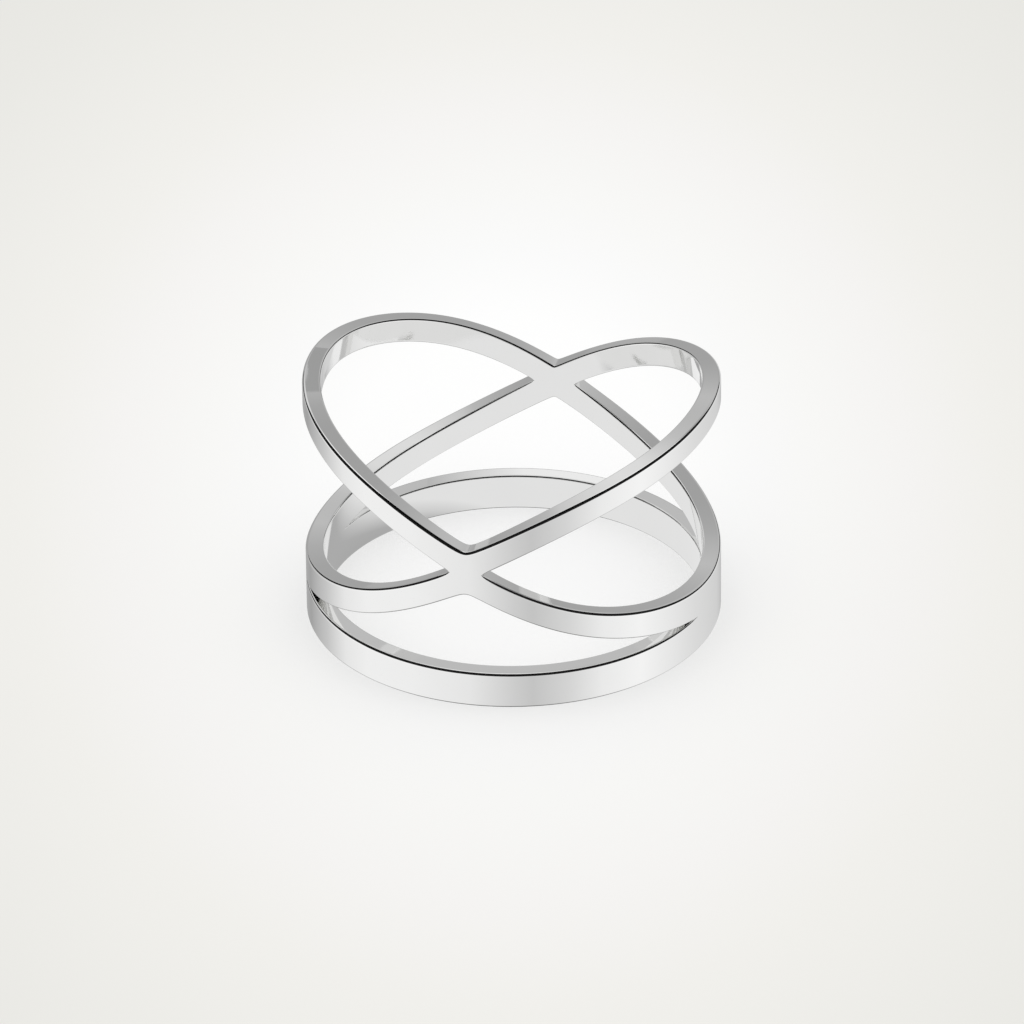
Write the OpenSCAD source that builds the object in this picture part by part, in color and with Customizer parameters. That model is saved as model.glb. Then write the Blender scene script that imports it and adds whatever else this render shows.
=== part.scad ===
// Crossover ring in one piece of silver: a level band with two tilted loops above it.
// Each loop dips into the band on one side and rises to full height on the other, so the
// loops cross at the front and at the back, and merge there into one broad joint. The
// finger goes in along Z, and the band's flat underside lies at z = 0. Angles go round the
// finger from +X, so the front of the ring is at 270 degrees.

/* [Ring] */
// Inside diameter, where the finger goes
inside_d = 17.3; // [14:0.1:22]
// Thickness of the metal, from inside to outside
wall = 0.85; // [0.6:0.05:1.2]
// Overall height along the finger
overall_h = 11.9; // [9:0.1:14]

/* [Band] */
// Height of the level band
band_h = 1.73; // [1:0.01:2.5]

/* [Loops] */
// Width of each loop, across the strip
loop_w = 1.17; // [0.8:0.01:1.5]
// Width of each loop at its low side, where it merges into the band
low_w = 1.46; // [1.2:0.01:1.8]
// Depth to which the low side of each loop sinks into the band
loop_dip = 0.11; // [0.04:0.01:0.3]
// Share of the rise that flattens the high and low sides
flatten = 0.033; // [0:0.001:0.1]
// Share of the rise that straightens the legs between them
straighten = 0.011; // [0:0.001:0.03]

/* [Crossings] */
// Spread of the two strips above and below the crossing at the front
front_lap = 0.27; // [0:0.01:0.4]
// The same spread at the back
back_lap = 0.1; // [0:0.01:0.4]
// Width of the rounding in the two corners above and below the front crossing
front_fill = 0.32; // [0.06:0.01:0.5]
// The same width at the back
back_fill = 0.1; // [0.06:0.01:0.5]
// Height at which the metal fills the sharp end of a gap
tip_fill = 0.06; // [0.06:0.01:0.2]

/* [Smoothness] */
// Degrees between the steps of the upper edge
edge_step = 3; // [2, 3, 5]
// Steps along each gap
gap_steps = 44; // [24:4:60]

/* [Hidden] */

$fn = 180;
inner_r = inside_d / 2;
outer_r = inner_r + wall;
low_z = band_h - loop_dip + low_w / 2;
high_z = overall_h - loop_w / 2;
mid_z = (low_z + high_z) / 2;
rise = (high_z - low_z) / 2;
// how far the cutting shapes reach past the metal
past = 0.2;
// height of the plain tube that the ring is cut from
blank_h = overall_h + 0.5;

// Height of a loop from its middle, as a share of the rise: lowest at 0 degrees. The other
// loop is its mirror image, so it lies as far above the middle as this one lies below.
function lift(a) = -(1 + flatten - straighten) * cos(a) + flatten * cos(3 * a) - straighten * cos(5 * a);

// Slope of that curve, for each radian round the finger
function lift_slope(a) =
    (1 + flatten - straighten) * sin(a) - 3 * flatten * sin(3 * a) + 5 * straighten * sin(5 * a);

// 1 at the sides of the ring, where the loops are furthest apart, and 0 at the crossings
function at_side(a) = pow(abs(cos(a)), 3);

// How far the upper strip is raised, and the lower one lowered, beside a crossing
function lap(a) = (1 - at_side(a)) * (sin(a) < 0 ? front_lap : back_lap);

// Half a strip, measured straight up: a steep stretch is taller than it is wide
function half_h(a, w) = w / 2 * sqrt(1 + pow(rise * lift_slope(a) / outer_r, 2));
function upper_half(a) = half_h(a, loop_w);
function lower_half(a) = half_h(a, loop_w + (low_w - loop_w) * at_side(a));

// Distance of the strips from the middle height: from edge to edge, and with the corner
// under or over a crossing rounded off
function apart(a) = rise * abs(lift(a)) + lap(a);
function apart_round(a) =
    sqrt(pow(rise * lift(a), 2) + pow((sin(a) < 0 ? front_fill : back_fill) / 2, 2)) + lap(a);

// Edges of the ring: its top, the gap beside a crossing, and the top of the band gap
function crown_z(a) = mid_z + apart_round(a) + upper_half(a);
function side_top_z(a) = mid_z + apart(a) - upper_half(a);
function side_bottom_z(a) = mid_z - apart(a) + lower_half(a);
function band_gap_z(a) = mid_z - apart_round(a) - lower_half(a);

// Angle at which a gap is tip_fill high, halving the span from a (closed) to b (open)
function gap_end(gap, a, b, turns = 30) =
    let (middle = (a + b) / 2)
    turns == 0 ? middle
    : gap(middle) > tip_fill ? gap_end(gap, a, middle, turns - 1)
    : gap_end(gap, middle, b, turns - 1);

// Ends of the gap on the right, beside the crossings at the front and at the back
side_front = gap_end(function (a) side_top_z(a) - side_bottom_z(a), -90, -45);
side_back = gap_end(function (a) side_top_z(a) - side_bottom_z(a), 90, 45);
// Right-hand end of the gap above the band, at the back, and its left-hand end at the front
band_back = gap_end(function (a) band_gap_z(a) - band_h, 0, 60);
band_front = gap_end(function (a) band_gap_z(a) - band_h, 180, 240);

// Angles from a to b, closer together near both ends
function spread(a, b, n) = [for (i = [0:n]) a + (b - a) * (1 - cos(180 * i / n)) / 2];

// One corner of a cutting shape: an angle, a radius and a height
function corner(a, r, z) = [r * cos(a), r * sin(a), z];

// Two triangles for the four-sided patch p, q, r, s
function patch(p, q, r, s) = [[p, r, q], [p, s, r]];

// A shape that cuts straight towards the finger's axis. Each row of the table is one
// angle, with the cut's lower and upper height there. A closed one goes all the way round.
module radial_cut(rows, closed = false) {
    n = len(rows);
    near = inner_r - past;
    far = outer_r + past;
    points = [for (row = rows) each [
        corner(row[0], near, row[1]),
        corner(row[0], far, row[1]),
        corner(row[0], far, row[2]),
        corner(row[0], near, row[2])
    ]];
    sides = [
        for (i = [0:closed ? n - 1 : n - 2], k = [0:3])
        let (p = 4 * i, q = 4 * ((i + 1) % n), m = (k + 1) % 4)
        each patch(p + k, q + k, q + m, p + m)
    ];
    last = 4 * (n - 1);
    ends = closed ? [] : concat(patch(0, 1, 2, 3), patch(last + 3, last + 2, last + 1, last));
    polyhedron(points, concat(sides, ends), convexity = 6);
}

// Everything above the loops
module crown_cut() {
    radial_cut([for (a = [0:edge_step:360 - edge_step]) [a, crown_z(a), blank_h + past]], closed = true);
}

// The gap on the right, between the low side of one loop and the high side of the other
module side_gap() {
    radial_cut([for (a = spread(side_front, side_back, gap_steps)) [a, side_bottom_z(a), side_top_z(a)]]);
}

// A gap under a crossing and above the band, from angle a to angle b
module band_gap(a, b) {
    radial_cut([for (i = spread(a, b, gap_steps)) [i, band_h, band_gap_z(i)]]);
}

module ring() {
    color("silver")
    difference() {
        cylinder(h = blank_h, r = outer_r);
        translate([0, 0, -past]) cylinder(h = blank_h + 2 * past, r = inner_r);
        crown_cut();
        side_gap();
        mirror([1, 0, 0]) side_gap();
        band_gap(band_back, 180 - band_back);
        band_gap(band_front, 540 - band_front);
    }
}

ring();
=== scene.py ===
# %% [markdown]
# # A crossover ring in polished silver
# The ring is one piece of metal. A level band carries two slim, tilted loops: each dips into
# the band on one side and rises to full height on the other, so they cross at the front and
# at the back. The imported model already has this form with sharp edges. What is missing is
# what a polisher adds: softly rounded edges, which draw the thin dark lines along every rim
# in the photo, and a clean mirror finish. This script makes the same ring again as a finer
# skin with those edges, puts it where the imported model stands, and lights it.

# %% The frame
import math

import bpy
import numpy as np
from mathutils import Matrix, Vector


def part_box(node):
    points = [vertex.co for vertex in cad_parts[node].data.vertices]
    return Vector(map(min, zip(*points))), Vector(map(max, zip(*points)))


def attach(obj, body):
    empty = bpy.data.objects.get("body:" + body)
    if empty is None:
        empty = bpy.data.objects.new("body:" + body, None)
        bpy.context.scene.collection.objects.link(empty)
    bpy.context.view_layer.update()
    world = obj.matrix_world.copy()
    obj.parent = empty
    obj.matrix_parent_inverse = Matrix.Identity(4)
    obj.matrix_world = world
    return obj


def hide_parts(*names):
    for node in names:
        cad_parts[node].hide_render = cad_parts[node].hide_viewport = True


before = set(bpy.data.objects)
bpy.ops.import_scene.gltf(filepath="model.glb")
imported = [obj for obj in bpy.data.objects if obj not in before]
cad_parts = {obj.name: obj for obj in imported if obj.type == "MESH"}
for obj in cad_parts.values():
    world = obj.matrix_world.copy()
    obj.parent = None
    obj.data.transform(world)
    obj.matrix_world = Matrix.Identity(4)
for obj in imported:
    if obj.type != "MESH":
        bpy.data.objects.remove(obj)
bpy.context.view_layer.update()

print("nodes in the frame:", list(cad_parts))

# %% [markdown]
# ## Sizes
# A ring is measured in millimetres, and Blender works in metres, so every length below is in
# millimetres and is scaled where it goes into Blender. The ring's box comes from the frame.
# The other sizes drive the form: the thickness of the wall, the height of the band, the
# width of a loop and its greater width at its low side, how deep it dips into the band, two
# small shares that shape its course, and the spread and the fill of each crossing.

# %% Sizes of the ring
MM = 0.001
ring_low, ring_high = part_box("ring")
outer_r = (ring_high[0] - ring_low[0]) / 2 / MM
overall_h = (ring_high[2] - ring_low[2]) / MM
wall = 0.85
inner_r = outer_r - wall
band_h = 1.73
loop_w = 1.17
low_w = 1.46
loop_dip = 0.11
flatten = 0.033
straighten = 0.011
front_lap, back_lap = 0.27, 0.1
front_fill, back_fill = 0.32, 0.1
tip_fill = 0.06

low_z = band_h - loop_dip + low_w / 2
high_z = overall_h - loop_w / 2
mid_z = (low_z + high_z) / 2
rise = (high_z - low_z) / 2
print(f"ring {2 * outer_r:.2f} mm across and {overall_h:.2f} mm high")

# %% [markdown]
# ## The course of the loops
# On the real ring each loop is a tilted strip of the same tube as the band. A tilted plane
# that cuts a tube gives a cosine wave round it. The loops are a little flatter at their
# high and low sides and straighter in between, which two small overtones give. A curve
# drawn by hand could follow them as well, but a formula also gives the exact slope, on
# which a strip's height depends.

# %% Course of a loop
def lift(a):
    """Height of a loop from its middle, as a share of the rise: a cosine and two overtones."""
    return (
        -(1 + flatten - straighten) * np.cos(a)
        + flatten * np.cos(3 * a)
        - straighten * np.cos(5 * a)
    )


def lift_slope(a):
    """The derivative of lift, for each radian round the finger."""
    return (
        (1 + flatten - straighten) * np.sin(a)
        - 3 * flatten * np.sin(3 * a)
        + 5 * straighten * np.sin(5 * a)
    )


quarter = np.pi / 2
climb = math.degrees(math.atan(rise * lift_slope(quarter) / outer_r))
print(f"a loop climbs at {climb:.0f} degrees where it crosses the other")

# %% [markdown]
# ## The strips and their crossings
# A strip keeps its width across, so measured straight up it is taller where it is steep.
# Only at its low side, where it merges into the band, is it wider. Between the crossings one
# loop is always the upper strip and the other the lower one, and they lie equally far from
# the middle height. Near a crossing the two spread a little further apart, more so at the
# front, where the joint is broad, and the sharp corner between them is filled.

# %% Edges of the strips
def at_side(a):
    """The cube of the cosine's size: 1 at the sides of the ring and 0 at the crossings."""
    return np.abs(np.cos(a)) ** 3


def by_crossing(a, front, back):
    """One value on the front half of the ring and another on the back half."""
    return np.where(np.sin(a) < 0, front, back)


def half_h(a, width):
    """Half a strip straight up: half its width times the length of its slope's hypotenuse."""
    return width / 2 * np.hypot(1, rise * lift_slope(a) / outer_r)


def lower_half(a):
    """Half the lower strip, which widens towards its low side."""
    return half_h(a, loop_w + (low_w - loop_w) * at_side(a))


def apart(a, fill=0.0):
    """Distance of a strip from the middle height: the root of its rise squared plus half the
    fill squared, which rounds the corner at a crossing, and the spread beside the crossing."""
    lap = (1 - at_side(a)) * by_crossing(a, front_lap, back_lap)
    return np.hypot(rise * lift(a), fill / 2) + lap


print(f"a strip is {2 * half_h(0.0, loop_w):.2f} mm tall at its high side and",
      f"{2 * half_h(quarter, loop_w):.2f} mm at a crossing")

# %% [markdown]
# ## Columns round the finger
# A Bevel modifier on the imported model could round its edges, but that mesh is loose
# triangles, and a bevel tangles where a gap runs out to a point. So the skin is worked out
# as a grid: columns round the finger, and points along the outline of the metal in each
# column. The gaps between the loops end in tight points, so the columns lie closer together
# there. A gap's end is found by halving a span until it closes on the angle at which the
# gap is as narrow as the metal that fills it. The left half mirrors the right one.

# %% Angles of the columns
def gap_end(gap, shut, wide, halvings=40):
    """Angle where a gap is tip_fill high, by halving the span from shut to wide."""
    for _ in range(halvings):
        middle = (shut + wide) / 2
        shut, wide = (shut, middle) if gap(middle) > tip_fill else (middle, wide)
    return middle


def spread(a, b, count):
    """Angles from a up to b, b left out: half a cosine wave, so they crowd at both ends."""
    return a + (b - a) * (1 - np.cos(np.pi * np.arange(count) / count)) / 2


def side_gap(a):
    """Height of the gap between the upper and the lower strip."""
    return 2 * apart(a) - half_h(a, loop_w) - lower_half(a)


def band_gap(a):
    """Height of the gap between the lower strip and the band."""
    return mid_z - apart(a, by_crossing(a, front_fill, back_fill)) - lower_half(a) - band_h


ends = [
    gap_end(side_gap, -quarter, -quarter / 2), gap_end(band_gap, 0.0, -quarter / 2),
    gap_end(band_gap, 0.0, quarter / 2), gap_end(side_gap, quarter, quarter / 2),
]
stops = [-quarter, *ends, quarter]
# from the front crossing to the side gap, to the band gap's end, across the side, and on
# in the same way to the crossing at the back
stretch_columns = (20, 146, 52, 146, 20)
right_half = np.concatenate([
    spread(a, b, count) for a, b, count in zip(stops, stops[1:], stretch_columns)
])
turn = np.concatenate([right_half, [quarter], np.pi - right_half[:0:-1]])
end_degrees = [round(math.degrees(end), 2) for end in ends]
print(len(turn), "columns; gaps on the right end at", end_degrees, "degrees")

# %% [markdown]
# ## The foot and the crown
# From below, each column meets three strips: the band, the low loop and the high loop. The
# lowest edge, at the foot, is level, and the highest one is the crown of the loops. An edge
# is kept as arrays over the columns: its height z, its direction along the wall and up, how
# steep it is, how far two closed edges have sunk into each other, whether there is an open
# gap beside it, and how much of its rounding is left near a gap's end.

# %% The two plain edges
def slope_of(height):
    """Derivative of a height by the angle, over the columns taken as a closed circle."""
    pad = 3
    angles = np.concatenate([turn[-pad:] - 2 * np.pi, turn, turn[:pad] + 2 * np.pi])
    return np.gradient(np.concatenate([height[-pad:], height, height[:pad]]), angles)[pad:-pad]


def plain_edge(height):
    """An edge with metal on one side all the way round. Its direction is (radius, slope),
    made a unit, and its steepness is the length of that arrow over the radius."""
    slope = slope_of(height)
    length = np.hypot(outer_r, slope)
    return {
        "z": height, "along": outer_r / length, "up": slope / length,
        "steep": length / outer_r, "sunk": np.zeros_like(height),
        "open": np.ones(len(turn), bool), "round": np.ones_like(height),
    }


fill = by_crossing(turn, front_fill, back_fill)
crown = plain_edge(mid_z + apart(turn, fill * (1 - at_side(turn))) + half_h(turn, loop_w))
foot = plain_edge(np.zeros_like(turn))
print(f"the crown lies at {crown['z'].min():.2f} to {crown['z'].max():.2f} mm")

# %% [markdown]
# ## The edges of the gaps
# Two neighbouring strips are parted by a gap, or they are one where the gap has closed. The
# plain difference of two heights would end a gap in a sharp point, which no file can cut. A
# gap of half height g therefore opens as the square root of g squared less a small amount,
# which rounds its pointed end like the trace of a round file.

# %% The edges of the gaps
least_gap = 1e-5
tip_reach = 0.15


def gap_edges(below, above):
    """Lower and upper edge of a gap. With m its middle, g its half height, k half the fill
    and h the root of g squared less k squared, the edges are m - h and m + h, and the
    direction along them is (radius * h, slope of m * h -+ g * slope of g), made a unit."""
    k = tip_fill / 2
    m, g = (above + below) / 2, (above - below) / 2
    h = np.sqrt(np.clip(g * g - k * k, 0, None)) * (g > 0)
    is_open = h > least_gap
    at_end = ~is_open & (np.roll(is_open, 1) | np.roll(is_open, -1))
    shut = ~is_open & ~at_end
    edges = []
    for side, smooth in ((-1, below), (1, above)):
        length_up = np.where(shut, slope_of(m), slope_of(m) * h + side * g * slope_of(g))
        length_on = np.where(shut, outer_r, outer_r * h)
        length = np.hypot(length_on, length_up)
        edges.append({
            "z": m + side * h, "along": length_on / length, "up": length_up / length,
            "steep": np.hypot(1, slope_of(smooth) / outer_r),
            "sunk": np.where(shut, np.clip(k - g, 0, None), 0),
            "open": is_open, "round": 1 - np.exp(-h / tip_reach),
        })
    return edges


band_top, low_bottom = gap_edges(
    np.full_like(turn, band_h), mid_z - apart(turn, fill) - lower_half(turn)
)
low_top, high_bottom = gap_edges(
    mid_z - apart(turn) + lower_half(turn), mid_z + apart(turn) - half_h(turn, loop_w)
)
strips = {
    "band": (foot, band_top), "low loop": (low_bottom, low_top), "high loop": (high_bottom, crown),
}
for name, (lower, upper) in strips.items():
    print(f"{name}: {lower['z'].min():.2f} to {upper['z'].max():.2f} mm")

# %% [markdown]
# ## Rounded corners
# Each of the four corners of a strip's section is a quarter circle. The upper outer corner,
# which a polishing wheel meets most, is the roundest. Near a gap's pointed end, where no
# wheel reaches, all get sharper. Where two strips have become one, their corners are cut
# off where they meet, so the groove between them runs out after the gap.

# %% Rounded corners
outer_round = 0.15
inner_round = 0.1
under_round = 0.1
tip_round = 0.04
corner_steps = 6


def corner_points(edge, radius, outside, is_upper):
    """Quarter circle from an edge's face to the wall. At the angle b, the point lies
    r * (1 - cos b) along the wall from the edge and r * (1 - sin b) inside it, and its
    normal leans from the edge's own direction, at b = 0, to straight out of the wall. Where
    the edge has sunk by s, the circle starts at the angle whose 1 - cos b is s / r."""
    r = tip_round + (radius - tip_round) * edge["round"]
    start = np.arccos(1 - np.clip(edge["sunk"] / r, 0, 1))
    first = r * (1 - np.cos(start))
    out, up = (1 if outside else -1), (1 if is_upper else -1)
    wall_r = outer_r if outside else inner_r
    points = []
    for share in np.linspace(0, 1, corner_steps + 1):
        b = start + (quarter - start) * share
        down = (r * (1 - np.cos(b)) - first) * edge["steep"]
        points.append((
            wall_r - out * r * (1 - np.sin(b)), edge["z"] - up * down,
            out * np.sin(b), -up * np.cos(b) * edge["up"], up * np.cos(b) * edge["along"],
        ))
    return points


print(len(corner_points(crown, outer_round, True, True)), "points on every corner")

# %% [markdown]
# ## The outline of one strip
# Walk round a strip's section: up the outer wall, inwards over its top face, down the inner
# wall, and back under it. Half-way across each face and wall lies one point more, which
# keeps the patches there from getting too long. The points are noted with the part of the
# section that follows them, because a top or bottom face is there only beside an open gap.

# %% The outline of one strip
wall_part, top_part, bottom_part = 0, 1, 2


def between(start, stop, count):
    """Points strictly between two of them: every value in equal steps."""
    shares = np.arange(1, count) / count
    return [tuple(p + (q - p) * s for p, q in zip(start, stop)) for s in shares]


def outline(lower, upper):
    """All points round a strip's section, each as arrays over the columns: radius, height,
    and the normal's parts outwards, along the turn and upwards. The second array says which
    part of the section follows each point."""
    up_out = corner_points(lower, under_round, True, False)
    down_out = corner_points(upper, outer_round, True, True)[::-1]
    down_in = corner_points(upper, inner_round, False, True)
    up_in = corner_points(lower, under_round, False, False)[::-1]
    outer_wall = up_out + between(up_out[-1], down_out[0], 2) + down_out
    top_face = between(down_out[-1], down_in[0], 2)
    inner_wall = down_in + between(down_in[-1], up_in[0], 2) + up_in
    bottom_face = between(up_in[-1], up_out[0], 2)
    points = outer_wall + top_face + inner_wall + bottom_face
    a, b, c = len(outer_wall), len(top_face), len(inner_wall)
    part_of = np.full(len(points), wall_part)
    part_of[a - 1:a + b] = top_part
    part_of[a + b + c - 1:] = bottom_part
    return np.array([[np.broadcast_to(v, turn.shape) for v in p] for p in points]), part_of


print(len(outline(*strips["band"])[1]), "points round the section of a strip")

# %% [markdown]
# ## A grid of patches for each strip
# The outlines of all columns make a grid of four-sided patches that closes both ways.
# Patches on the top and bottom faces are left out where a gap is shut, because there is no
# face inside the metal. Mirrors show every wrong normal, so each point takes its exact
# normal from the formula along with it, instead of an average of the patches round it.

# %% Grids of the strips
def strip_patches(lower, upper, offset):
    """Points, normals and four-sided patches of one strip, numbered from offset. A point at
    the angle a is (radius * cos a, radius * sin a, height), and its normal turns with it."""
    points, part_of = outline(lower, upper)
    radius, height, out, on, up = points.transpose(1, 0, 2)
    cos, sin = np.cos(turn), np.sin(turn)
    place = np.stack([radius * cos, radius * sin, height], -1)
    normal = np.stack([out * cos - on * sin, out * sin + on * cos, up], -1)
    normal /= np.linalg.norm(normal, axis=-1, keepdims=True)
    rows, columns = radius.shape
    number = offset + np.arange(rows * columns).reshape(rows, columns)
    following = np.roll(number, -1, 1)
    patch = np.stack([number, following, np.roll(following, -1, 0), np.roll(number, -1, 0)], -1)
    keep = np.ones((rows, columns), bool)
    for part, edge in ((top_part, upper), (bottom_part, lower)):
        keep[part_of == part] = edge["open"] | np.roll(edge["open"], -1)
    return place.reshape(-1, 3), normal.reshape(-1, 3), patch[keep]


grids = []
for lower, upper in strips.values():
    grids.append(strip_patches(lower, upper, sum(len(grid[0]) for grid in grids)))
places, normals, patches = (np.concatenate(parts) for parts in zip(*grids))
print(len(places), "points and", len(patches), "patches in the three grids")

# %% [markdown]
# ## The skin as one mesh
# Equal points are merged, so neighbouring strips become one solid. A patch that has shrunk
# to a triangle stays as one, and a patch that has shrunk to a line is dropped. That leaves
# a closed skin, in which every edge belongs to two faces.

# %% Grids to a mesh
merge_digits = 5


def merged_faces():
    """The places left when equal points are merged, the faces between them, and for every
    corner of a face the number of the grid point that it came from."""
    spots, number = np.unique(np.round(places, merge_digits), axis=0, return_inverse=True)
    corners = number.reshape(-1)[patches]
    kept = corners != np.roll(corners, 1, 1)
    whole = kept.all(1) & (corners[:, 0] != corners[:, 2]) & (corners[:, 1] != corners[:, 3])
    thirds = kept.sum(1) == 3
    flat = np.concatenate([corners[whole].reshape(-1), corners[thirds][kept[thirds]]])
    source = np.concatenate([patches[whole].reshape(-1), patches[thirds][kept[thirds]]])
    used, small = np.unique(flat, return_inverse=True)
    cut = 4 * whole.sum()
    faces = small[:cut].reshape(-1, 4).tolist() + small[cut:].reshape(-1, 3).tolist()
    return spots[used], faces, source


def ring_mesh():
    """The ring's closed skin with exact corner normals."""
    spots, faces, source = merged_faces()
    mesh = bpy.data.meshes.new("ring")
    mesh.from_pydata((spots * MM).tolist(), [], faces)
    mesh.shade_smooth()
    mesh.normals_split_custom_set(normals[source].tolist())
    return mesh


polished = bpy.data.objects.new("polished_ring", ring_mesh())
bpy.context.scene.collection.objects.link(polished)
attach(polished, "root")
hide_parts("ring")
triangles = sum(len(p.vertices) - 2 for p in polished.data.polygons)
print(f"ring skin: {len(polished.data.vertices)} points, {triangles} triangles")

# %% [markdown]
# ## Shader maths
# A finish is a small network of nodes. Written node by node it is hard to read, so a socket
# is wrapped in a class that understands plus, minus, times and greater than, and one method
# adds any other node.

# %% A socket that does sums
class Wire:
    """An output socket in a node tree. Sums, products and comparisons add Math nodes."""

    def __init__(self, tree, socket):
        self.tree, self.socket = tree, socket

    def node(self, kind, settings=None, output=0, **inputs):
        """Adds a node of any kind: its settings first, then the values or wires of its
        sockets, whose names have underscores for spaces. i0 is the first socket."""
        return add_node(self.tree, kind, settings, output, **inputs)

    def math(self, operation, first, second=0.0):
        """Adds a Math node. An operation on one value doesn't read the second."""
        return self.node("ShaderNodeMath", {"operation": operation}, i0=first, i1=second)

    def __add__(self, other):
        return self.math("ADD", self, other)

    def __radd__(self, other):
        return self.math("ADD", other, self)

    def __sub__(self, other):
        return self.math("SUBTRACT", self, other)

    def __rsub__(self, other):
        return self.math("SUBTRACT", other, self)

    def __mul__(self, other):
        return self.math("MULTIPLY", self, other)

    def __rmul__(self, other):
        return self.math("MULTIPLY", other, self)

    def __gt__(self, other):
        return self.math("GREATER_THAN", self, other)

    def __lt__(self, other):
        return self.math("GREATER_THAN", other, self)

    def along(self, axis):
        """How far this arrow reaches along an axis: their dot product."""
        product = {"operation": "DOT_PRODUCT"}
        return self.node("ShaderNodeVectorMath", product, "Value", i0=self, i1=axis)

    def choose(self, yes, no):
        """yes where this mask is 1 and no where it is 0: each times its share, added up."""
        return yes * self + no * (1 - self)

    def blend(self, first, second):
        """Two colours mixed by this share. A Mix node has sockets of the same name for each
        kind of value, so they are numbered: 6 and 7 are the colours, and 2 is their mix."""
        return self.node("ShaderNodeMix", {"data_type": "RGBA"}, 2, i0=self, i6=first, i7=second)


print("a wire understands +, -, *, > and <, also with a number before it")

# %% [markdown]
# ## Any other node
# A node is added in three steps. Its settings come first, because some of them change which
# sockets it has. Then every input gets a number or colour, or a link where it is given a
# wire. Last, the output that was asked for comes back as a new wire. A colour ramp's stops
# are a list of places and colours, so they are filled in one by one.

# %% Any other node
def add_node(tree, kind, settings=None, output=0, **inputs):
    """Adds one node to a tree and returns its output as a wire. A tree's last node has none."""
    node = tree.nodes.new(kind)
    for key, value in (settings or {}).items():
        if key == "stops":
            ramp = node.color_ramp.elements
            while len(ramp) < len(value):
                ramp.new(0.5)
            for stop, (place, colour) in zip(ramp, value):
                stop.position, stop.color = place, (*colour, 1)
        else:
            setattr(node, key, value)
    for key, value in inputs.items():
        numbered = key[0] == "i" and key[1:].isdigit()
        socket = node.inputs[int(key[1:])] if numbered else node.inputs[key.replace("_", " ")]
        if isinstance(value, Wire):
            tree.links.new(value.socket, socket)
        else:
            socket.default_value = value
    return Wire(tree, node.outputs[output]) if node.outputs else None


def new_material(name):
    """An empty material, and the place on a piece as the first wire of its tree."""
    material = bpy.data.materials.new(name)
    material.use_nodes = True
    material.node_tree.nodes.clear()
    return material, add_node(material.node_tree, "ShaderNodeTexCoord", output="Object")


silver, place = new_material("polished_silver")
print(silver.name, "starts with the wire", place.socket.name)

# %% [markdown]
# ## Polished silver
# Silver reflects almost all light and hardly tints it. One metal with one roughness would
# do for a perfect mirror, but a hand-polished ring isn't one: a soft film of wear changes
# its gloss from place to place, and a rouge cloth leaves hair-fine lines round it. Both are
# so slight that they only break up the reflections a little. The film is a broad noise. The
# lines are a fine noise that is squeezed along the finger, as shallow bumps.

# %% The silver finish
# a scale is a number of cells in a metre: 2 mm wide in the film, and a quarter of 1 mm in
# the lines
film = {"Scale": 520.0, "Detail": 3.0, "Roughness": 0.55}
hair_lines = {"Scale": 4200.0, "Detail": 4.0, "Roughness": 0.6}
line_squeeze = 9.0
line_depth, line_strength = 0.02 * MM, 0.02
worn_silver, clean_silver = (0.9, 0.9, 0.895, 1), (0.93, 0.93, 0.925, 1)
least_rough, film_rough = 0.02, 0.025

wear = place.node("ShaderNodeTexNoise", Vector=place, **film)
squeezed = place.node("ShaderNodeMapping", Vector=place, Scale=(1.0, 1.0, line_squeeze))
lines = place.node("ShaderNodeTexNoise", Vector=squeezed, **hair_lines)
bump = place.node("ShaderNodeBump", Height=lines, Strength=line_strength, Distance=line_depth)
metal = place.node(
    "ShaderNodeBsdfPrincipled", Base_Color=wear.blend(worn_silver, clean_silver),
    Metallic=1.0, Roughness=least_rough + film_rough * wear, Normal=bump,
)
metal.node("ShaderNodeOutputMaterial", i0=metal)
polished.data.materials.append(silver)
print("finish:", silver.name, "with", len(silver.node_tree.nodes), "nodes")

# %% [markdown]
# ## The camera
# The photo was taken from far away with a long lens, about thirty degrees above the table,
# so the ring hardly narrows towards the back. A camera could be moved by eye until the
# pictures agree. Here its place follows from the picture, which can be measured: how many
# pixels a millimetre takes, and where the ring's middle falls in the frame.

# %% The camera
def axes_at(azimuth, elevation):
    """Unit vectors of a camera that looks at the ring: back towards it, right, and up."""
    a, e = math.radians(azimuth), math.radians(elevation)
    back = Vector((math.sin(a) * math.cos(e), -math.cos(a) * math.cos(e), math.sin(e)))
    right = Vector((math.cos(a), math.sin(a), 0))
    return back, right, back.cross(right)


view_azimuth, view_elevation, view_roll = 13.2, 29.75, 0.62
view_distance = 482
photo_px = 1024
ring_r_px = 208.3
ring_px = (512.7, 488.9)
sensor = 36.0
nearest, farthest = 10, 10000

px_per_mm = ring_r_px / outer_r
back, right, up = axes_at(view_azimuth, view_elevation)
roll = math.radians(view_roll)
cam_right = right * math.cos(roll) - up * math.sin(roll)
cam_up = up * math.cos(roll) + right * math.sin(roll)
middle = Vector((0, 0, overall_h / 2))
aim = (
    middle
    - cam_right * ((ring_px[0] - photo_px / 2) / px_per_mm)
    + cam_up * ((ring_px[1] - photo_px / 2) / px_per_mm)
)
camera_data = bpy.data.cameras.new("camera")
camera_data.sensor_width = sensor
camera_data.lens = sensor * px_per_mm * view_distance / photo_px
camera_data.clip_start, camera_data.clip_end = nearest * MM, farthest * MM
camera = bpy.data.objects.new("camera", camera_data)
bpy.context.scene.collection.objects.link(camera)
turned = Matrix((cam_right, cam_up, back)).transposed().to_4x4()
camera.matrix_world = Matrix.Translation((aim + back * view_distance) * MM) @ turned
bpy.context.scene.camera = camera
print(f"camera {view_distance} mm away with a lens of {camera_data.lens:.0f} mm")

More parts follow.
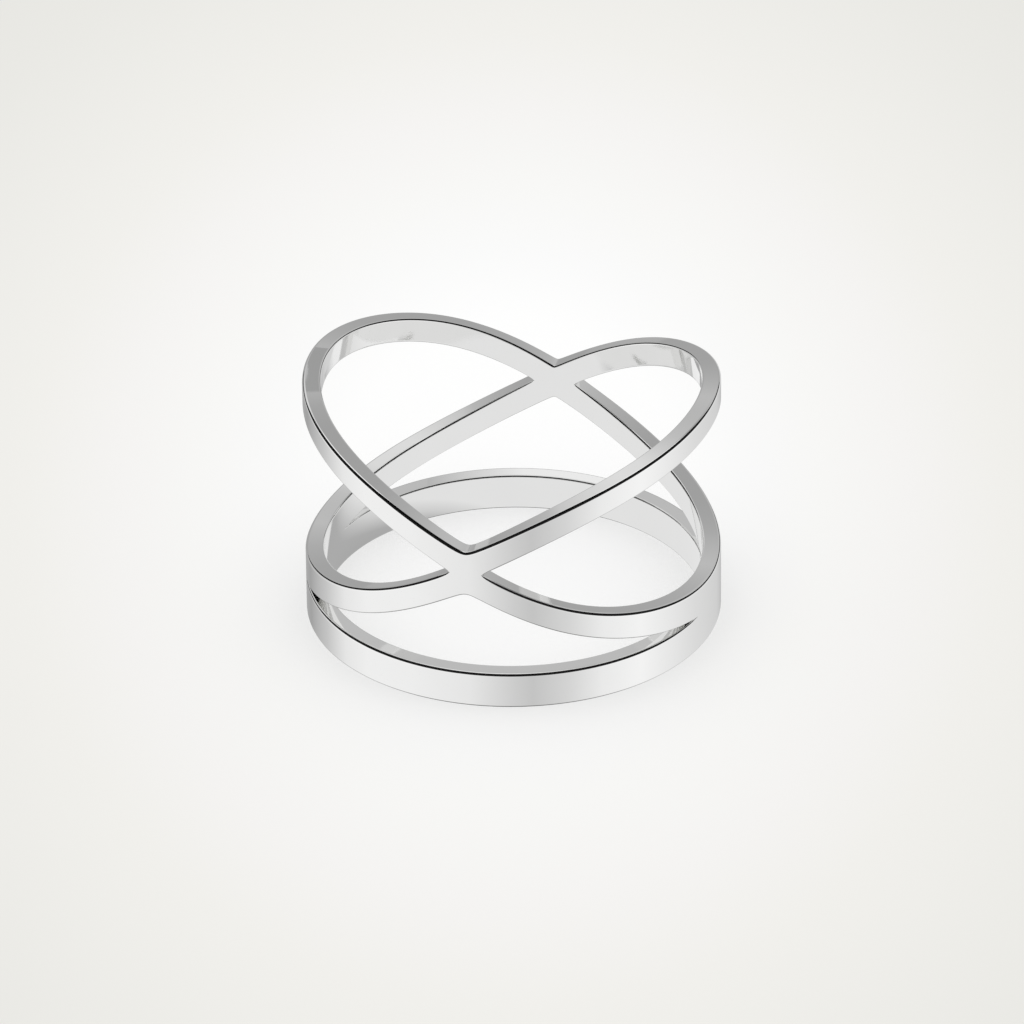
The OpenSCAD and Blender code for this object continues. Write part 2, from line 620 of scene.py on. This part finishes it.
# %% [markdown]
# ## Pieces of the studio
# The floor and the cards aren't part of the ring. All of them are flat, and three directions
# place them: up, to the camera's right, and straight behind the ring as the camera sees it.

# %% Flat pieces for the studio
upright = Vector((0, 0, 1))
straight_behind = upright.cross(right)


def studio_piece(name, points, faces, material):
    """A mesh with one material that is part of the studio. Its points are in millimetres."""
    mesh = bpy.data.meshes.new(name)
    mesh.from_pydata((np.array(points) * MM).tolist(), [], faces)
    mesh.materials.append(material)
    made = bpy.data.objects.new(name, mesh)
    bpy.context.scene.collection.objects.link(made)
    return made


def disc(name, radius, height, material, count=128):
    """A flat disc: one face over points on a circle."""
    angle = np.linspace(0, 2 * np.pi, count, endpoint=False)
    points = np.stack([radius * np.cos(angle), radius * np.sin(angle), np.full(count, height)], -1)
    return studio_piece(name, points, [list(range(count))], material)


print("straight behind the ring:", [round(part, 3) for part in straight_behind])

# %% [markdown]
# ## The pale floor
# The ring lies on plain off-white paper with a painted pool of light, brightest round the
# ring. The painted light falls off with the distance from a spot a little behind the ring,
# so that in the picture it is the middle of the ring. There the bright spot is round, so on
# the floor, which the camera sees at a slant, it is longer in the direction of view. Lamps
# could make this falloff too, but a tone by distance is easier to match and leaves the ring
# alone. Much of the tone is the paper's own painted glow, which keeps the ring's shadow as
# faint as in the photo. Mirrored rays don't see the floor, because what the ring mirrors is
# set further down.

# %% Floor
floor_r, floor_drop = 600, 0.002
# the size of the painted pool of light, and how far behind the ring's middle it lies
painted_light_pool_r, painted_light_pool_behind = 60, 5.6
# the share of the paper's tone that is painted glow rather than lit by the lamp
glow_share = 0.65


def length_of(x, y):
    """Length of the arrow (x, y): the root of its squares added up."""
    square = x * x + y * y
    return square.math("SQRT", square)


def floor_with_painted_light():
    """Paper with a painted pool of light: its tone depends on the distance from the bright spot,
    squeezed along the view.
    """
    material, place = new_material("paper_with_painted_light")
    away = place.along(straight_behind) * math.sin(math.radians(view_elevation))
    far = length_of(place.along(right), away - painted_light_pool_behind * MM) * (1 / (painted_light_pool_r * MM))
    # greys of the painted pool of light, from its bright middle outwards
    tones = [
        (0.0, (0.98, 0.98, 0.98)), (0.13, (0.97, 0.97, 0.967)), (0.19, (0.935, 0.935, 0.93)),
        (0.24, (0.917, 0.915, 0.9)), (0.31, (0.89, 0.881, 0.866)), (0.38, (0.857, 0.849, 0.818)),
        (0.53, (0.802, 0.797, 0.764)), (1.0, (0.7, 0.69, 0.65)),
    ]
    tone = place.node("ShaderNodeValToRGB", {"stops": tones}, Fac=far)
    lit = place.node("ShaderNodeBsdfDiffuse", Color=tone)
    glow = place.node("ShaderNodeEmission", Color=tone, Strength=1.0)
    paper = place.node("ShaderNodeMixShader", Fac=glow_share, i1=lit, i2=glow)
    paper.node("ShaderNodeOutputMaterial", i0=paper)
    return material


floor = disc("floor", floor_r, -floor_drop, floor_with_painted_light())
floor.visible_glossy = False
print(f"floor: {2 * floor_r} mm across, brightest {painted_light_pool_behind} mm behind the ring's middle")

# %% [markdown]
# ## What the ring mirrors
# A polished ring has no tone of its own: it shows what is round it. A photographer hangs
# papers and black cards round it until every face shows the right one. Far enough away,
# such cards are no more than a brightness for every direction, which a few tables can give
# without any stands or shadows.
#
# What the walls see is below them: bright paper, dimmer to the left behind and in a narrow
# stretch in front. The flat top faces see what is behind and above: a mid grey, with a paler
# card to the left. The rims, rounded from wall to top face, sweep across the whole front,
# which is black, and that draws the thin dark line along each of them. Lower down the grey
# behind the ring is narrower, so that the lines stay black round to the sides.
#
# A direction is given as its elevation above the floor and its bearing, which is counted
# from straight behind the ring and positive to the camera's right, both in degrees.

# %% Brightness by direction
below_by_elevation = [(-90, 0.12), (-66, 0.15), (-50, 0.9), (-30, 1.0), (-12, 1.1), (0, 1.0)]
below_by_bearing = [
    (-180, 0.66), (-155, 0.86), (-120, 0.93), (-90, 0.94), (-72, 0.86), (-52, 0.6),
    (-25, 0.38), (0, 0.45), (25, 0.66), (60, 0.76), (80, 0.86), (105, 0.98), (130, 0.9),
    (150, 0.72), (170, 0.6), (180, 0.66),
]
front_by_elevation = [(0, 0.9), (2, 0.02), (80, 0.0), (90, 0.0)]
behind_by_elevation = [
    (0, 0.38), (12, 0.39), (20, 0.44), (30, 0.53), (41, 0.44), (50, 0.38), (54, 0.38),
    (61, 0.95), (80, 1.0), (87, 0.0), (90, 0.0),
]
card_by_bearing = [(-60, 0.34), (-14, 0.34), (-6, 0.12), (2, 0.0), (60, 0.0)]
card_by_elevation = [(0, 0.0), (27, 0.0), (41, 1.0), (52, 0.9), (62, 0.0), (90, 0.0)]
# half the width of the grey behind the ring, as a share of a right angle
low_sector, high_sector = 28 / 90, 47 / 90
sector_by_elevation = [(0, low_sector), (14, low_sector), (24, high_sector), (90, high_sector)]
print(len(behind_by_elevation), "stops behind the ring and", len(below_by_bearing), "round it")

# %% [markdown]
# ## From a direction to a brightness
# A table becomes a colour ramp, which joins its stops with straight lines. Products of two
# ramps give a tone that depends on elevation and bearing, and masks choose between below,
# behind and in front. The same ramps serve the papers and cards further down.

# %% From a direction to a brightness
def greys_by(value, table):
    """A grey for every value, from a table of values and greys: the value's share of the
    table's span goes through a colour ramp."""
    low, high = table[0][0], table[-1][0]
    stops = [((at - low) / (high - low), (grey, grey, grey)) for at, grey in table]
    share = (value - low) * (1 / (high - low))
    return value.node("ShaderNodeValToRGB", {"stops": stops}, Fac=share)


def mirrored_by(way):
    """What a ray in this direction shows: one tone below the horizon, and above it another
    behind the ring and a third in front, and a mask that is 1 above the horizon. With z the
    upright part of the direction, its elevation is the arc sine of z. Its bearing is the arc
    tangent of its part to the right over its part straight behind."""
    degree = 180 / math.pi
    height, side = way.along(upright), way.along(right)
    elevation = height.math("ARCSINE", height) * degree
    bearing = side.math("ARCTAN2", side, way.along(straight_behind)) * degree
    below = greys_by(elevation, below_by_elevation) * greys_by(bearing, below_by_bearing)
    card = greys_by(bearing, card_by_bearing) * greys_by(elevation, card_by_elevation)
    behind = greys_by(elevation, behind_by_elevation) + card
    half_sector = greys_by(elevation, sector_by_elevation) * 90
    is_behind = half_sector > bearing.math("ABSOLUTE", bearing)
    above = is_behind.choose(behind, greys_by(elevation, front_by_elevation))
    is_above = height > 0
    return is_above.choose(above, below), is_above


print("the tones reach up to", max(grey for _, grey in below_by_elevation))

# %% [markdown]
# ## The rest of the room
# A world shader can answer each kind of ray in its own way. The camera sees a plain backdrop
# of the floor's far tone. A ray that comes from the dull floor sees even white. A ray that
# one mirror sent out sees the tones by direction, and a ray that has met two mirrors or
# more sees one even tone below and one above, because the walls of the real ring show each
# other without a trace of the sharp black.

# %% The world
room_light = 1.0
again_below, again_above = 0.72, 0.6
backdrop_colour = (0.871, 0.863, 0.831, 1)
# a ray that has met more mirrors than this has met at least two
one_mirror = 1.5


def studio_world():
    """A background whose brightness depends on the ray's direction and on its kind."""
    world = bpy.data.worlds.new("studio")
    world.use_nodes = True
    world.node_tree.nodes.clear()
    way = add_node(world.node_tree, "ShaderNodeTexCoord", output="Generated")
    is_view = way.node("ShaderNodeLightPath", output="Is Camera Ray")
    is_mirrored = way.node("ShaderNodeLightPath", output="Is Glossy Ray")
    is_again = way.node("ShaderNodeLightPath", output="Glossy Depth") > one_mirror
    once, is_above = mirrored_by(way)
    again = is_above.choose(again_above, again_below)
    brightness = is_mirrored.choose(is_again.choose(again, once), room_light)
    light = way.node("ShaderNodeBackground", Color=(1, 1, 1, 1), Strength=brightness)
    backdrop = way.node("ShaderNodeBackground", Color=backdrop_colour, Strength=1.0)
    both = way.node("ShaderNodeMixShader", i0=is_view, i1=light, i2=backdrop)
    both.node("ShaderNodeOutputWorld", i0=both)
    return world


bpy.context.scene.world = studio_world()
print("studio:", len(bpy.context.scene.world.node_tree.nodes), "nodes in the world")

# %% [markdown]
# ## Paper and cards
# Close to the ring, a direction alone isn't enough, so a few small things lie or stand there
# that only mirrored rays see. White paper fills the finger hole, and the inner walls mirror
# it. Its rim carries painted shade to the left behind, close to the band, where the band's
# inner wall is grey in the photo.

# %% Paper in the ring
paper_gap = 0.01
# a unit arrow to the left and behind, towards the painted shade, and the greys of that
# painted shade along it as shares of the inner radius
painted_shade_side = straight_behind * 0.6 - right * 0.8
painted_shade_greys = [(0.0, 0.82), (0.68, 0.82), (0.81, 0.66), (0.92, 0.44), (1.0, 0.42)]
paper_again = (0.84, 0.84, 0.84, 1)


def end_in_glow(tone):
    """Ends a material's tree with a plain glow of this tone."""
    glow = tone.node("ShaderNodeEmission", Color=tone, Strength=1.0)
    glow.node("ShaderNodeOutputMaterial", i0=glow)


def mirror_only(made):
    """Hides a thing from all but mirrored rays."""
    made.visible_camera = made.visible_diffuse = made.visible_shadow = False


def paper_in_the_ring():
    """White paper under the finger hole, with painted shade at its rim. Its grey follows the
    distance from the ring's axis towards the shaded side, but only as seen by one mirror and
    not by two."""
    material, place = new_material("white_paper_with_painted_shade")
    # painted shade: the paper's grey falls towards its rim on the shaded side
    once = greys_by(place.along(painted_shade_side) * (1 / (inner_r * MM)), painted_shade_greys)
    is_again = place.node("ShaderNodeLightPath", output="Glossy Depth") > one_mirror
    end_in_glow(is_again.blend(once, paper_again))
    mirror_only(disc("inner_paper", inner_r - paper_gap, 0.0, material))


paper_in_the_ring()
print(f"white paper: {2 * (inner_r - paper_gap):.2f} mm across")

# %% [markdown]
# ## Cards behind the ring
# The band's top face is almost white at the back, so a pale strip stands close behind it,
# and the high loop's top face is a darker grey on the left, which a grey card gives. Each
# card's place follows from where a ray leaves a top face: at the same slant as it came in.

# %% Cards behind the ring
def card_behind(name, greys, away, low_corner, high_corner):
    """An upright card that many millimetres behind the ring, with its greys from left to
    right. Its corners are given across the view and upwards."""
    material, place = new_material(name)
    (x0, z0), (x1, z1) = low_corner, high_corner
    table = list(zip(np.linspace(x0, x1, len(greys)).tolist(), greys))
    end_in_glow(greys_by(place.along(right) * (1 / MM), table))
    corners = [
        straight_behind * away + right * x + upright * z
        for x, z in ((x0, z0), (x1, z0), (x1, z1), (x0, z1))
    ]
    mirror_only(studio_piece(name, corners, [(0, 1, 2, 3)], material))


card_behind("white_strip", (0.5, 0.88, 0.9), 12.5, (-4, 3.2), (5, 4.6))
card_behind("grey_card", (0.36, 0.36), 20, (-9.8, 20), (-7, 31))

# %% [markdown]
# ## The lamp and the exposure
# A large soft lamp high above lights the floor evenly. The ring doesn't mirror it. The view
# transform is the plain one, so a brightness comes out as the tone that was asked for, and
# rays may bounce often, because light runs many times between the inner walls.

# %% Lamp, exposure and bounces
lamp_size, lamp_height = 400, 500
lamp_watts = 0.25
mirror_bounces, all_bounces = 12, 16


def overhead_light():
    """A large soft light above, which the ring doesn't mirror."""
    data = bpy.data.lights.new("overhead", "AREA")
    data.size = lamp_size * MM
    data.energy = lamp_watts
    made = bpy.data.objects.new("overhead", data)
    made.location = (0, 0, lamp_height * MM)
    made.visible_glossy = False
    bpy.context.scene.collection.objects.link(made)


overhead_light()
bpy.context.scene.view_settings.view_transform = "Standard"
bpy.context.scene.cycles.glossy_bounces = mirror_bounces
bpy.context.scene.cycles.max_bounces = all_bounces
print(f"lamp: {lamp_watts} watts, {lamp_height} mm up")
